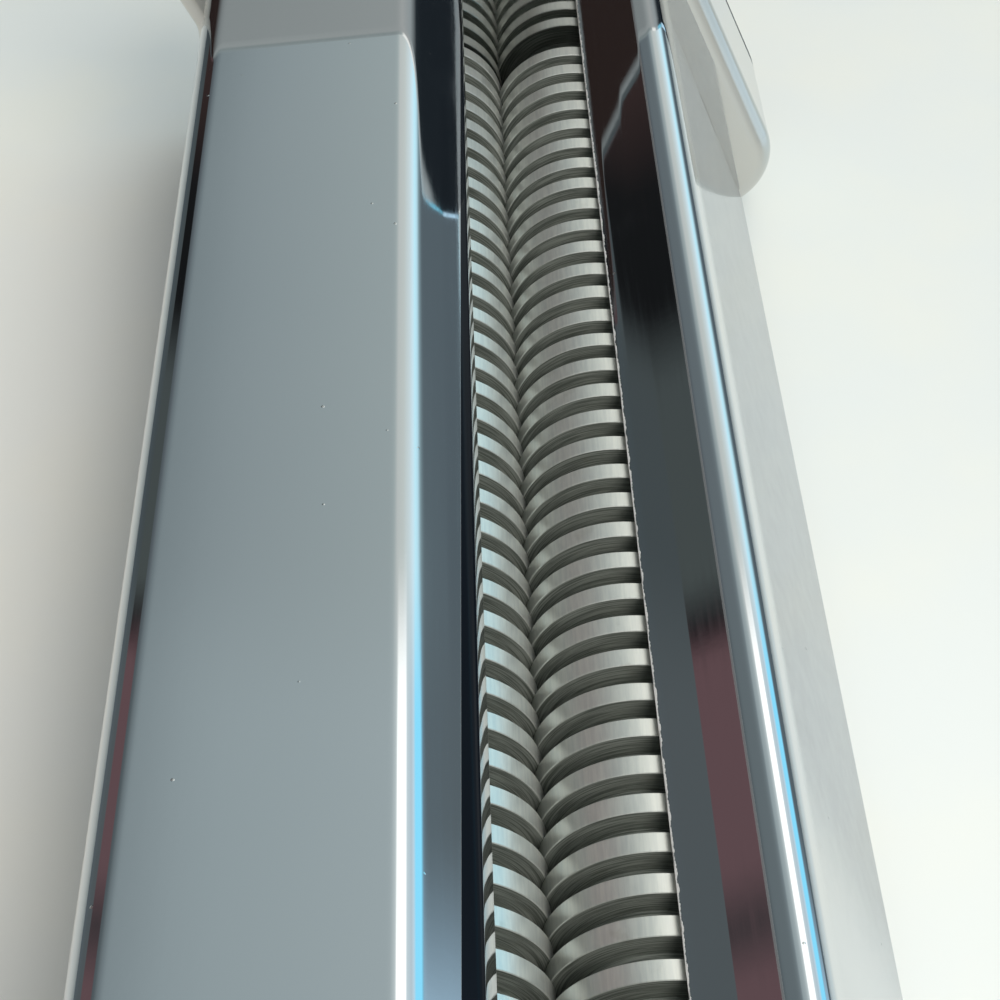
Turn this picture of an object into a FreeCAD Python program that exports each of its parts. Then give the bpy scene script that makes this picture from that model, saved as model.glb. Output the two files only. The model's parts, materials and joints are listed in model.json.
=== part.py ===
import FreeCAD, Part
import math
import os

# Cutter head of a hand-cranked pasta machine: two meshing ring rollers between two end housings,
# under a rear and a front sheet cover.  Millimetres.
#
# Part frame: +X along the rollers towards the gear end, -Y to the front (the sloping cover),
# +Z up.  The origin is the bottom centre of the whole object's box.
# Every section is drawn as (y, z) about the nip, the line midway between the roller axes, and
# is moved into the part frame when it is written out.

Vector = FreeCAD.Vector
X_AXIS = Vector(1, 0, 0)

# ---- rollers ----
ring_pitch = 4.0
ring_width = 1.95
ring_radius = 9.5
groove_radius = 6.9
front_ring_count = 37
rear_ring_count = 38
roller_half_length = 75.0
axis_spacing = 18.1
journal_radius = 4.0
running_clearance = 0.05
slip_clearance = 0.02
overshoot = 1.0               # how far a cutting shape runs past the surface it cuts

# ---- end housings: drawn sheet trays, open towards the ends of the object ----
housing_face_x = 75.5
housing_depth = 19.5
housing_wall = 1.2
housing_edge_radius = 2.5
housing_bottom = -20.0
housing_top = 22.0
housing_front_top_radius = 6.0
housing_front_bottom_radius = 9.0
housing_rear_bottom_radius = 5.0
ear_tip_radius = 3.0
ear_root_radius = 4.0
front_slope = 0.47            # run outwards per unit of drop of the housing's front edge
front_edge_y_at_axis = -33.43
rear_edge_y = 39.0
ear_root_z = 10.2
ear_slope = 0.466             # run outwards per unit of rise of the rear ear

# ---- bearing plates, inside the trays ----
bearing_plate_thickness = 4.0
bearing_plate_outline = [     # (y, z, corner radius)
    (-16.0, 19.5, 3.0),
    (12.0, 19.5, 3.0),
    (14.0, 12.8, 2.0),
    (36.0, 12.8, 3.0),
    (36.0, -17.5, 4.0),
    (-32.6, -17.5, 5.0),
]

# ---- covers ----
cover_thickness = 0.8
cover_bottom = -19.0
cover_return = 4.0
lip_bend_radius = 1.0
return_bend_radius = 1.5
# The bend that ends each lip runs slightly askew: its (y, z) at the crank end and at the gear end.
rear_lip_edge = (4.6, 9.7)
rear_lip_bend = {"crank": (7.7, 12.7), "gear": (5.1, 10.3)}
rear_ridge_corner = (11.45, 15.5)
rear_ridge_radius = 4.1
rear_wall_y = 38.2
rear_wall_top = 14.2
rear_corner_radius = 3.5
front_lip_edge = (-10.16, 10.3)
front_lip_bend = {"crank": (-13.6, 13.4), "gear": (-11.0, 11.1)}
front_ridge_inner_corner = (-17.6, 15.4)
front_ridge_inner_radius = 3.6
front_ridge_outer_corner = (-20.4, 15.4)
front_ridge_outer_radius = 2.5
front_hem_y = -34.9
tab_length = 2.0
slot_clearance = 0.15
tab_zones = [                 # where the covers' end tabs are, as (y range, z range)
    ((16.0, 22.0), (12.0, 18.0)),
    ((27.0, 33.0), (12.0, 18.0)),
    ((-38.0, -24.0), (-6.0, 0.0)),
    ((-38.0, -24.0), (-16.0, -10.0)),
]

# ---- bushings ----
bushing_radius = 6.0
bushing_flange_radius = 7.5
bushing_flange_thickness = 1.3
bushing_inner_x = 75.3

# ---- gears ----
gear_module = 1.5
gear_teeth = 12
gear_addendum_factor = 0.9
gear_root_radius = 7.4
gear_pressure_angle = math.radians(20.0)
gear_backlash = 0.1
gear_start_x = 82.5
gear_width = 9.0
gear_flank_steps = 8
gear_hub_flat = 3.2           # distance of the shaft's flat from its axis

# ---- shaft ends ----
clip_thickness = 0.8
clip_radius = 5.6
clip_groove_radius = 3.3
clip_mouth_share = 0.8        # width of a clip's mouth as a share of its inner diameter
clip_gap = 0.2
shaft_end_margin = 1.3

# ---- crank socket ----
socket_radius = 7.0
socket_start_x = 82.5
socket_end_x = 97.0
socket_shaft_end_x = 88.0
socket_bore_radius = 4.2
socket_bore_start_x = 88.5
socket_slot_width = 2.4
socket_slot_radius = 6.0
socket_pin_radius = 1.25
socket_pin_x = 85.2
socket_pin_recess = 0.2       # how far the pin's ends stay under the sleeve's surface
collar_inner_radius = 7.6
collar_outer_radius = 10.0
collar_flange_radius = 11.5
collar_start_x = 92.5

# ---- tie rods and comb bars ----
tie_rod_radius = 2.5
tie_rod_upper_rear = (28.0, 8.0)
tie_rod_lower_rear = (20.0, -13.0)
tie_rod_upper_front = (-18.0, 9.0)
tie_rod_lower_front = (-20.0, -13.0)
screw_radius = 1.5
screw_head_radius = 3.0
screw_length = 12.0
tapped_hole_margin = 1.0      # how much deeper than its screw a tapped hole is
cross_recess_depth = 1.0
cross_recess_width = 0.7
cross_recess_reach = 1.7

# ---- combs ----
comb_half_length = 75.2
comb_bar_width = 9.0
comb_bar_height = 8.0
comb_bar_corner_radius = 1.5
comb_finger_width = 1.5
comb_tip_bluntness = 0.3
comb_chin_depth = 1.6         # below the bar's top: the underside of the finger under its tip
comb_foot_rear_depth = 3.0    # below the bar's top: where the finger's underside meets the bar
comb_foot_front_depth = 1.0
comb_foot_margin = 1.0        # how far inside the bar the finger's underside ends
comb_inner_radius = 7.2
comb_tip_angle = math.radians(-40.0)
comb_heel_angle = math.radians(-150.0)

# ---- end caps ----
cap_thickness = 3.0
cap_edge_radius = 1.5
cap_rim_depth = 2.0
cap_rim_width = 1.5
cap_rim_clearance = 0.3
standoff_radius = 3.0
standoff_spigot_radius = 2.0
standoff_places = [(32.0, -4.0), (-28.0, -12.5), (4.0, 15.5)]

# ---- derived places along X ----
bearing_plate_x = housing_face_x + housing_wall
bearing_plate_end_x = bearing_plate_x + bearing_plate_thickness
cap_x = housing_face_x + housing_depth
cap_end_x = cap_x + cap_thickness
gear_end_x = gear_start_x + gear_width
clip_x = gear_end_x + clip_gap
rear_clip_x = -(gear_start_x + clip_thickness)
shaft_end_x = clip_x + clip_thickness + shaft_end_margin
front_axis_y = -axis_spacing / 2
rear_axis_y = axis_spacing / 2
tie_rod_places = {
    "tie_rod_rear_upper": tie_rod_upper_rear,
    "tie_rod_rear_lower": tie_rod_lower_rear,
    "tie_rod_front_upper": tie_rod_upper_front,
    "tie_rod_front_lower": tie_rod_lower_front,
}


# ---------------------------------------------------------------- section helpers

def section_point(y, z):
    return Vector(0, y, z)


def left_normal(direction):
    """The direction turned a quarter turn anticlockwise in the (y, z) plane."""
    return Vector(0, -direction.z, direction.y)


def turn_sign(before, corner, after):
    """+1 where the path turns left at the corner, -1 where it turns right."""
    incoming = corner - before
    outgoing = after - corner
    return math.copysign(1.0, incoming.y * outgoing.z - incoming.z * outgoing.y)


def rounded_face(corners):
    """A face from closed (y, z, radius) corners, with a tangent arc at each corner that has a radius."""
    points = [section_point(y, z) for y, z, _ in corners]
    count = len(points)
    edges = []
    ends = []
    for index, (_, _, radius) in enumerate(corners):
        corner = points[index]
        to_before = (points[index - 1] - corner).normalize()
        to_after = (points[(index + 1) % count] - corner).normalize()
        if radius <= 0:
            ends.append((corner, corner, None))
            continue
        half_angle = to_before.getAngle(to_after) / 2
        bisector = (to_before + to_after).normalize()
        reach = radius / math.tan(half_angle)
        middle = corner + bisector * (radius / math.sin(half_angle) - radius)
        ends.append((corner + to_before * reach, corner + to_after * reach, middle))
    for index, (arc_start, arc_end, middle) in enumerate(ends):
        if middle is not None:
            edges.append(Part.Arc(arc_start, middle, arc_end).toShape())
        next_start = ends[(index + 1) % count][0]
        edges.append(Part.LineSegment(arc_end, next_start).toShape())
    return Part.Face(Part.Wire(edges))


def offset_path(path, distance):
    """The open (y, z, radius) path moved to its left, each bend keeping its centre."""
    points = [section_point(y, z) for y, z, _ in path]
    moved = []
    for index, (_, _, radius) in enumerate(path):
        directions = []
        if index > 0:
            directions.append((points[index] - points[index - 1]).normalize())
        if index < len(points) - 1:
            directions.append((points[index + 1] - points[index]).normalize())
        normals = [left_normal(direction) for direction in directions]
        if len(normals) == 1:
            shift = normals[0] * distance
            new_radius = 0
        else:
            shift = (normals[0] + normals[1]) * (distance / (1 + normals[0].dot(normals[1])))
            sign = turn_sign(points[index - 1], points[index], points[index + 1])
            new_radius = radius - sign * distance
        corner = points[index] + shift
        moved.append((corner.y, corner.z, new_radius))
    return moved


def sheet_face(path, near, far):
    """The section of a bent sheet between two distances to the left of its path."""
    return rounded_face(offset_path(path, near) + offset_path(path, far)[::-1])


def extrude(face, start_x, end_x):
    solid = face.extrude(X_AXIS * (end_x - start_x))
    solid.translate(X_AXIS * start_x)
    return solid


def rod(place, radius, start_x, end_x):
    y, z = place
    return Part.makeCylinder(radius, end_x - start_x, Vector(start_x, y, z), X_AXIS)


def box(x_range, y_range, z_range):
    size = [high - low for low, high in (x_range, y_range, z_range)]
    return Part.makeBox(*size, Vector(x_range[0], y_range[0], z_range[0]))


def mirrored(shape):
    return shape.mirror(Vector(0, 0, 0), X_AXIS)


def on_side(shape, side):
    """The shape as built at the gear end, or its mirror image at the crank end."""
    return shape if side == "gear" else mirrored(shape)


# ---------------------------------------------------------------- rollers

def roller(axis_y, ring_count, ends):
    """One turned roller: journals and a core with rings, as one revolved bar."""
    first_x = -(ring_count - 1) * ring_pitch / 2
    half_ring = ring_width / 2
    profile = [(-roller_half_length, groove_radius)]
    for index in range(ring_count):
        centre = first_x + index * ring_pitch
        low = max(centre - half_ring, -roller_half_length)
        high = min(centre + half_ring, roller_half_length)
        profile += [(low, groove_radius), (low, ring_radius), (high, ring_radius), (high, groove_radius)]
    profile.append((roller_half_length, groove_radius))
    outline = [Vector(x, axis_y + radius, 0) for x, radius in profile]
    outline = [Vector(-roller_half_length, axis_y, 0)] + outline + [Vector(roller_half_length, axis_y, 0)]
    points = [point for index, point in enumerate(outline) if index == 0 or point != outline[index - 1]]
    ring_body = Part.Face(Part.makePolygon(points + points[:1])).revolve(Vector(0, axis_y, 0), X_AXIS, 360)
    crank_end, gear_end = ends
    journals = rod((axis_y, 0), journal_radius, crank_end, gear_end)
    solid = ring_body.fuse(journals).removeSplitter()
    flat = box(
        (gear_start_x, gear_end + overshoot),
        (axis_y - ring_radius, axis_y + ring_radius),
        (gear_hub_flat, ring_radius),
    )
    return solid.cut(flat).cut(clip_groove(axis_y, clip_x))


def clip_groove(axis_y, start_x):
    groove = rod((axis_y, 0), journal_radius + overshoot, start_x, start_x + clip_thickness)
    return groove.cut(rod((axis_y, 0), clip_groove_radius, start_x, start_x + clip_thickness))


def front_cutting_roller():
    """The driven roller; its crank end is drilled across for the socket's pin."""
    solid = roller(front_axis_y, front_ring_count, (-socket_shaft_end_x, shaft_end_x))
    return solid.cut(socket_pin_hole(slip_clearance))


def rear_cutting_roller():
    solid = roller(rear_axis_y, rear_ring_count, (rear_clip_x - shaft_end_margin, shaft_end_x))
    return solid.cut(clip_groove(rear_axis_y, rear_clip_x))


def retaining_clip(axis_y, start_x):
    """A split ring snapped into its groove in the shaft."""
    inner_radius = clip_groove_radius + slip_clearance
    low_x = start_x + slip_clearance
    high_x = start_x + clip_thickness - slip_clearance
    ring = rod((axis_y, 0), clip_radius, low_x, high_x)
    ring = ring.cut(rod((axis_y, 0), inner_radius, low_x, high_x))
    half_mouth = inner_radius * clip_mouth_share
    mouth = box(
        (low_x, high_x),
        (axis_y - half_mouth, axis_y + half_mouth),
        (-clip_radius - overshoot, 0),
    )
    return ring.cut(mouth)


# ---------------------------------------------------------------- gears

def involute(angle):
    return math.tan(angle) - angle


def tooth_half_angle(radius):
    """Half of a tooth's angular width at the radius; constant below the base circle."""
    pitch_radius = gear_module * gear_teeth / 2
    base_radius = pitch_radius * math.cos(gear_pressure_angle)
    at_pitch = math.pi / (2 * gear_teeth) - gear_backlash / (2 * pitch_radius)
    if radius <= base_radius:
        return at_pitch + involute(gear_pressure_angle)
    return at_pitch + involute(gear_pressure_angle) - involute(math.acos(base_radius / radius))


def gear(axis_y, phase):
    """A spur gear with a D-shaped bore; phase is the angle of one tooth's middle."""
    pitch_radius = gear_module * gear_teeth / 2
    base_radius = pitch_radius * math.cos(gear_pressure_angle)
    tip_radius = pitch_radius + gear_addendum_factor * gear_module
    steps = [step / gear_flank_steps for step in range(gear_flank_steps + 1)]
    radii = [gear_root_radius] + [base_radius + (tip_radius - base_radius) * step for step in steps]
    points = []
    for tooth in range(gear_teeth):
        middle = phase + 2 * math.pi * tooth / gear_teeth
        rising = [(radius, middle - tooth_half_angle(radius)) for radius in radii]
        falling = [(radius, middle + tooth_half_angle(radius)) for radius in reversed(radii)]
        points += [
            section_point(axis_y + radius * math.cos(angle), radius * math.sin(angle))
            for radius, angle in rising + falling
        ]
    outline = Part.Face(Part.makePolygon(points + points[:1]))
    blank = extrude(outline, gear_start_x, gear_end_x)
    bore_radius = journal_radius + slip_clearance
    bore = rod((axis_y, 0), bore_radius, gear_start_x, gear_end_x)
    bore = bore.cut(box(
        (gear_start_x, gear_end_x),
        (axis_y - bore_radius, axis_y + bore_radius),
        (gear_hub_flat + slip_clearance, bore_radius),
    ))
    return blank.cut(bore)


# ---------------------------------------------------------------- crank socket

def socket_pin_hole(clearance):
    reach = socket_radius + overshoot
    base = Vector(-socket_pin_x, front_axis_y - reach, 0)
    return Part.makeCylinder(socket_pin_radius + clearance, 2 * reach, base, Vector(0, 1, 0))


def crank_socket():
    """A sleeve pinned on the driven shaft, with a blind round bore and a cross slot for the crank."""
    place = (front_axis_y, 0)
    sleeve = rod(place, socket_radius, -socket_end_x, -socket_start_x)
    sleeve = sleeve.cut(rod(place, journal_radius + slip_clearance, -socket_shaft_end_x, -socket_start_x))
    sleeve = sleeve.cut(rod(place, socket_bore_radius, -socket_end_x, -socket_bore_start_x))
    slot = rod(place, socket_slot_radius, -socket_end_x, -socket_bore_start_x)
    slot = slot.common(box(
        (-socket_end_x, -socket_bore_start_x),
        (front_axis_y - socket_slot_radius, front_axis_y + socket_slot_radius),
        (-socket_slot_width / 2, socket_slot_width / 2),
    ))
    return sleeve.cut(slot).cut(socket_pin_hole(slip_clearance))


def crank_socket_pin():
    """The cross pin, its ends just under the sleeve's surface."""
    limit = rod((front_axis_y, 0), socket_radius - socket_pin_recess, -socket_end_x, -socket_start_x)
    return socket_pin_hole(0).common(limit)


def socket_collar():
    """A flanged plastic ring that closes the gap between the cap's hole and the socket."""
    place = (front_axis_y, 0)
    ring = rod(place, collar_outer_radius, -cap_end_x, -collar_start_x)
    flange = rod(place, collar_flange_radius, -cap_x, -collar_start_x)
    hole = rod(place, collar_inner_radius, -cap_end_x, -collar_start_x)
    return ring.fuse(flange).cut(hole).removeSplitter()


# ---------------------------------------------------------------- end housings

def front_edge_y(z):
    return front_edge_y_at_axis + front_slope * z


def ear_edge_y(z):
    return rear_edge_y + ear_slope * (z - ear_root_z)


def housing_face():
    return rounded_face([
        (front_edge_y(housing_top), housing_top, housing_front_top_radius),
        (ear_edge_y(housing_top), housing_top, ear_tip_radius),
        (rear_edge_y, ear_root_z, ear_root_radius),
        (rear_edge_y, housing_bottom, housing_rear_bottom_radius),
        (front_edge_y(housing_bottom), housing_bottom, housing_front_bottom_radius),
    ])


def inset(face, distance):
    return Part.Face(face.OuterWire.makeOffset2D(-distance))


def edges_at_x(solid, x):
    """The edges that lie wholly in the plane at x."""
    tolerance = 0.001
    found = []
    for edge in solid.Edges:
        limits = edge.BoundBox
        if abs(limits.XMin - x) < tolerance and abs(limits.XMax - x) < tolerance:
            found.append(edge)
    return found


def housing(side):
    """A tray drawn from sheet: its closed face, with rounded edges, looks at the rollers."""
    outer = extrude(housing_face(), housing_face_x, cap_x)
    outer = outer.makeFillet(housing_edge_radius, edges_at_x(outer, housing_face_x))
    cavity = extrude(inset(housing_face(), housing_wall), bearing_plate_x, cap_x + overshoot)
    cavity = cavity.makeFillet(housing_edge_radius - housing_wall, edges_at_x(cavity, bearing_plate_x))
    tray = outer.cut(cavity)
    bushing_hole_radius = bushing_radius + running_clearance
    screw_hole_radius = screw_radius + running_clearance
    for axis_y in (front_axis_y, rear_axis_y):
        tray = tray.cut(rod((axis_y, 0), bushing_hole_radius, housing_face_x, bearing_plate_x))
    for place in tie_rod_places.values():
        tray = tray.cut(rod(place, screw_hole_radius, housing_face_x, bearing_plate_x))
    for path in (rear_cover_path(rear_lip_bend["gear"]), front_cover_path(front_lip_bend["gear"])):
        tray = tray.cut(cover_tabs(path, slot_clearance))
    return on_side(tray, side)


def bearing_plate(side):
    """The thick plate behind the tray's face that carries the bushings, tie rods and standoffs."""
    start_x, end_x = bearing_plate_x, bearing_plate_end_x
    plate = extrude(rounded_face(bearing_plate_outline), start_x, end_x)
    for axis_y in (front_axis_y, rear_axis_y):
        plate = plate.cut(rod((axis_y, 0), bushing_radius + slip_clearance, start_x, end_x))
    for place in tie_rod_places.values():
        plate = plate.cut(countersunk_hole(place, start_x, end_x))
    for place in standoff_places:
        plate = plate.cut(rod(place, standoff_spigot_radius + slip_clearance, start_x, end_x))
    return on_side(plate, side)


def countersink(place, radius, head_radius, surface_x):
    """The cone of a flat screw head that ends flush at surface_x."""
    y, z = place
    depth = head_radius - radius
    return Part.makeCone(radius, head_radius, depth, Vector(surface_x - depth, y, z), X_AXIS)


def countersunk_hole(place, start_x, surface_x):
    radius = screw_radius + running_clearance
    head_radius = screw_head_radius + running_clearance
    return rod(place, radius, start_x, surface_x).fuse(countersink(place, radius, head_radius, surface_x))


def flat_head_screw(place, surface_x, length):
    """A countersunk screw with a cross recess, its head flush at surface_x."""
    y, z = place
    head = countersink(place, screw_radius, screw_head_radius, surface_x)
    shank = rod(place, screw_radius, surface_x - length, surface_x - cross_recess_depth)
    body = head.fuse(shank).removeSplitter()
    long_half, short_half = cross_recess_reach, cross_recess_width / 2
    for half_y, half_z in ((long_half, short_half), (short_half, long_half)):
        body = body.cut(box(
            (surface_x - cross_recess_depth, surface_x + overshoot),
            (y - half_y, y + half_y),
            (z - half_z, z + half_z),
        ))
    return body


def bushing(axis_y, side):
    """A flanged bronze bushing pressed into the bearing plate from the outside."""
    place = (axis_y, 0)
    flange_end = bearing_plate_end_x + bushing_flange_thickness
    barrel = rod(place, bushing_radius, bushing_inner_x, flange_end)
    flange = rod(place, bushing_flange_radius, bearing_plate_end_x, flange_end)
    hole = rod(place, journal_radius + running_clearance, bushing_inner_x, flange_end)
    return on_side(barrel.fuse(flange).cut(hole).removeSplitter(), side)


def end_cap(side):
    """The moulded cap that closes a tray, with a locating rim inside the tray's wall."""
    plate = extrude(housing_face(), cap_x, cap_end_x)
    plate = plate.makeFillet(cap_edge_radius, edges_at_x(plate, cap_end_x))
    rim_inset = housing_wall + cap_rim_clearance
    rim = extrude(inset(housing_face(), rim_inset), cap_x - cap_rim_depth, cap_x)
    rim = rim.cut(extrude(inset(housing_face(), rim_inset + cap_rim_width), cap_x - cap_rim_depth, cap_x))
    cap = plate.fuse(rim).removeSplitter()
    for place in standoff_places:
        cap = cap.cut(countersunk_hole(place, cap_x, cap_end_x))
    if side == "crank":
        cap = cap.cut(rod((front_axis_y, 0), collar_outer_radius + slip_clearance, cap_x, cap_end_x))
    return on_side(cap, side)


def cap_standoffs():
    """The posts between each bearing plate and its cap, with a spigot pressed into the plate."""
    posts = []
    for place in standoff_places:
        post = rod(place, standoff_radius, bearing_plate_end_x, cap_x)
        post = post.fuse(rod(place, standoff_spigot_radius, bearing_plate_x, bearing_plate_end_x))
        hole_start = cap_end_x - screw_length - tapped_hole_margin
        post = post.cut(rod(place, screw_radius + slip_clearance, hole_start, cap_x))
        posts += [post, mirrored(post)]
    return Part.makeCompound(posts)


def cap_screws():
    screws = [flat_head_screw(place, cap_end_x, screw_length) for place in standoff_places]
    return Part.makeCompound(screws + [mirrored(screw) for screw in screws])


# ---------------------------------------------------------------- tie rods

def tie_rod(place):
    """A round bar between the trays' faces, tapped at both ends."""
    bar = rod(place, tie_rod_radius, -housing_face_x, housing_face_x)
    hole_start = bearing_plate_end_x - screw_length - tapped_hole_margin
    hole = rod(place, screw_radius + slip_clearance, hole_start, housing_face_x)
    return bar.cut(hole).cut(mirrored(hole))


def tie_rod_screws():
    places = tie_rod_places.values()
    screws = [flat_head_screw(place, bearing_plate_end_x, screw_length) for place in places]
    return Part.makeCompound(screws + [mirrored(screw) for screw in screws])


# ---------------------------------------------------------------- covers

def rear_cover_path(lip_bend):
    """The visible side of the rear cover, from its lip over the roller to its bottom return."""
    return [
        (*rear_lip_edge, 0),
        (*lip_bend, lip_bend_radius),
        (*rear_ridge_corner, rear_ridge_radius),
        (rear_wall_y, rear_wall_top, rear_corner_radius),
        (rear_wall_y, cover_bottom, return_bend_radius),
        (rear_wall_y - cover_return, cover_bottom, 0),
    ]


def front_cover_path(lip_bend):
    """The visible side of the front cover, from its lip over the roller to its bottom return."""
    return [
        (*front_lip_edge, 0),
        (*lip_bend, lip_bend_radius),
        (*front_ridge_inner_corner, front_ridge_inner_radius),
        (*front_ridge_outer_corner, front_ridge_outer_radius),
        (front_hem_y, cover_bottom, return_bend_radius),
        (front_hem_y + cover_return, cover_bottom, 0),
    ]


def inner_side(path):
    """The signed distance from the path to the sheet's hidden side."""
    return -cover_thickness if path[0][0] > 0 else cover_thickness


def cover_tabs(path, clearance):
    """A cover's tabs at the gear end, grown by a clearance except on the visible side of the sheet."""
    far = inner_side(path)
    section = sheet_face(path, 0, far + math.copysign(clearance, far))
    strip = extrude(section, housing_face_x, housing_face_x + tab_length)
    zones = [
        box(
            (housing_face_x, housing_face_x + tab_length),
            (y_low - clearance, y_high + clearance),
            (z_low - clearance, z_high + clearance),
        )
        for (y_low, y_high), (z_low, z_high) in tab_zones
    ]
    return strip.common(Part.makeCompound(zones))


def cover(path_at, lip_bend):
    """A bent sheet cover with end tabs that pass through slots in the trays' faces."""
    sections = []
    for side, x in (("crank", -housing_face_x), ("gear", housing_face_x)):
        path = path_at(lip_bend[side])
        wire = sheet_face(path, 0, inner_side(path)).OuterWire
        wire.translate(X_AXIS * x)
        sections.append(wire)
    sheet = Part.makeLoft(sections, True, True)
    tabs = cover_tabs(path_at(lip_bend["gear"]), 0)
    return sheet.fuse([tabs, mirrored(tabs)]).removeSplitter()


# ---------------------------------------------------------------- combs

def finger_face():
    """A stripping finger of the front comb, hooked under the roller's core inside one groove."""
    def on_core(angle):
        return section_point(
            front_axis_y + comb_inner_radius * math.cos(angle),
            comb_inner_radius * math.sin(angle),
        )

    bar_y, bar_z = tie_rod_lower_front
    bar_top = bar_z + comb_bar_height / 2
    heel = on_core(comb_heel_angle)
    tip = on_core(comb_tip_angle)
    middle = on_core((comb_heel_angle + comb_tip_angle) / 2)
    foot_front = section_point(bar_y - comb_bar_width / 4, bar_top - comb_foot_front_depth)
    foot_rear_y = bar_y + comb_bar_width / 2 - comb_foot_margin
    foot_rear = section_point(foot_rear_y, bar_top - comb_foot_rear_depth)
    chin = section_point(tip.y - comb_tip_bluntness, bar_top - comb_chin_depth)
    outline = [
        Part.Arc(heel, middle, tip).toShape(),
        Part.LineSegment(tip, chin).toShape(),
        Part.LineSegment(chin, foot_rear).toShape(),
        Part.LineSegment(foot_rear, foot_front).toShape(),
        Part.LineSegment(foot_front, heel).toShape(),
    ]
    return Part.Face(Part.Wire(outline))


def comb(ring_count):
    """The front comb: a bar on its tie rod, with one finger in each groove of a roller."""
    bar_y, bar_z = tie_rod_lower_front
    low_y, high_y = bar_y - comb_bar_width / 2, bar_y + comb_bar_width / 2
    low_z, high_z = bar_z - comb_bar_height / 2, bar_z + comb_bar_height / 2
    corners = [(low_y, low_z), (high_y, low_z), (high_y, high_z), (low_y, high_z)]
    section = rounded_face([(y, z, comb_bar_corner_radius) for y, z in corners])
    bar = extrude(section, -comb_half_length, comb_half_length)
    groove_count = ring_count - 1
    first_x = -(groove_count - 1) * ring_pitch / 2 - comb_finger_width / 2
    fingers = []
    for index in range(groove_count):
        start = first_x + index * ring_pitch
        fingers.append(extrude(finger_face(), start, start + comb_finger_width))
    hole = rod(tie_rod_lower_front, tie_rod_radius + running_clearance, -comb_half_length, comb_half_length)
    return bar.fuse(fingers).cut(hole)


def rear_comb():
    """The front comb's mirror image, with its fingers in the rear roller's grooves."""
    return comb(rear_ring_count).mirror(Vector(0, 0, 0), Vector(0, 1, 0))


# ---------------------------------------------------------------- the object

def all_parts():
    parts = {
        "rear_cover": cover(rear_cover_path, rear_lip_bend),
        "front_cover": cover(front_cover_path, front_lip_bend),
        "front_cutting_roller": front_cutting_roller(),
        "rear_cutting_roller": rear_cutting_roller(),
        "drive_gear": gear(front_axis_y, 0),
        "driven_gear": gear(rear_axis_y, math.pi / gear_teeth + math.pi),
        "drive_gear_clip": retaining_clip(front_axis_y, clip_x),
        "driven_gear_clip": retaining_clip(rear_axis_y, clip_x),
        "rear_shaft_clip": retaining_clip(rear_axis_y, rear_clip_x),
        "crank_socket": crank_socket(),
        "crank_socket_pin": crank_socket_pin(),
        "socket_collar": socket_collar(),
        "front_comb": comb(front_ring_count),
        "rear_comb": rear_comb(),
        "tie_rod_screws": tie_rod_screws(),
        "cap_standoffs": cap_standoffs(),
        "cap_screws": cap_screws(),
    }
    for name, place in tie_rod_places.items():
        parts[name] = tie_rod(place)
    for side in ("gear", "crank"):
        parts[f"housing_{side}_side"] = housing(side)
        parts[f"bearing_plate_{side}_side"] = bearing_plate(side)
        parts[f"end_cap_{side}_side"] = end_cap(side)
        parts[f"bushing_front_{side}_side"] = bushing(front_axis_y, side)
        parts[f"bushing_rear_{side}_side"] = bushing(rear_axis_y, side)
    return parts


def main():
    os.makedirs("parts", exist_ok=True)
    outline = housing_face().BoundBox
    to_part_frame = Vector(0, -(outline.YMin + outline.YMax) / 2, -outline.ZMin)
    print("nip line at y %.4f, z %.4f" % (to_part_frame.y, to_part_frame.z))
    for name, shape in all_parts().items():
        shape.translate(to_part_frame)
        count, sound, volume = len(shape.Solids), shape.isValid(), shape.Volume
        print("%-28s solids %2d  valid %s  volume %9.2f" % (name, count, sound, volume))
        shape.exportStep(f"parts/{name}.step")


main()
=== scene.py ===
import json
import math

import bmesh
import bpy
import numpy as np
from mathutils import Matrix, Vector


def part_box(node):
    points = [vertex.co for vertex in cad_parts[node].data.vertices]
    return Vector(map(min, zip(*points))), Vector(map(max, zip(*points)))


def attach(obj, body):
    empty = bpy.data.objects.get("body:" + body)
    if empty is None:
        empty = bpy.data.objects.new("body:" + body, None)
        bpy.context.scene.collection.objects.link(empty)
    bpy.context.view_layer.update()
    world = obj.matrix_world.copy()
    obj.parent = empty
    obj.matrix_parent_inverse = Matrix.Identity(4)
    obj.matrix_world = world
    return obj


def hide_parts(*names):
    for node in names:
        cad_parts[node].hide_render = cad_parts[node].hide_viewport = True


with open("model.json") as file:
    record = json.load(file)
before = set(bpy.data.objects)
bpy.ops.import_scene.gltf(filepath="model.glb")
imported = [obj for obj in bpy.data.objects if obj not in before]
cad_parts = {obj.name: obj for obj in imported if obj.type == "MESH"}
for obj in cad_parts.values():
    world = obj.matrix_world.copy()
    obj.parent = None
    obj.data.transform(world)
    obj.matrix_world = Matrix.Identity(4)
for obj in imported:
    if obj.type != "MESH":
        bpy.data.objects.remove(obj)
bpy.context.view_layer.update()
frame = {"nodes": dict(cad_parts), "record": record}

# Looks of the cutter head of a pasta machine.  Metres, in the frame of the CAD part:
# +X along the rollers towards the gear end, -Y to the front, +Z up.
MM = 0.001
X_AXIS = Vector((1, 0, 0))
sharp_angle = math.radians(40)

# ---- places and sizes taken from the frame ----
front_roller_low, front_roller_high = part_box("front_cutting_roller")
rear_roller_low, rear_roller_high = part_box("rear_cutting_roller")
front_axis = (front_roller_low + front_roller_high) / 2
rear_axis = (rear_roller_low + rear_roller_high) / 2
ring_radius = (front_roller_high.z - front_roller_low.z) / 2
nip_y = (front_axis.y + rear_axis.y) / 2
nip_z = front_axis.z
housing_face_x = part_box("housing_gear_side")[0].x

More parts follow.
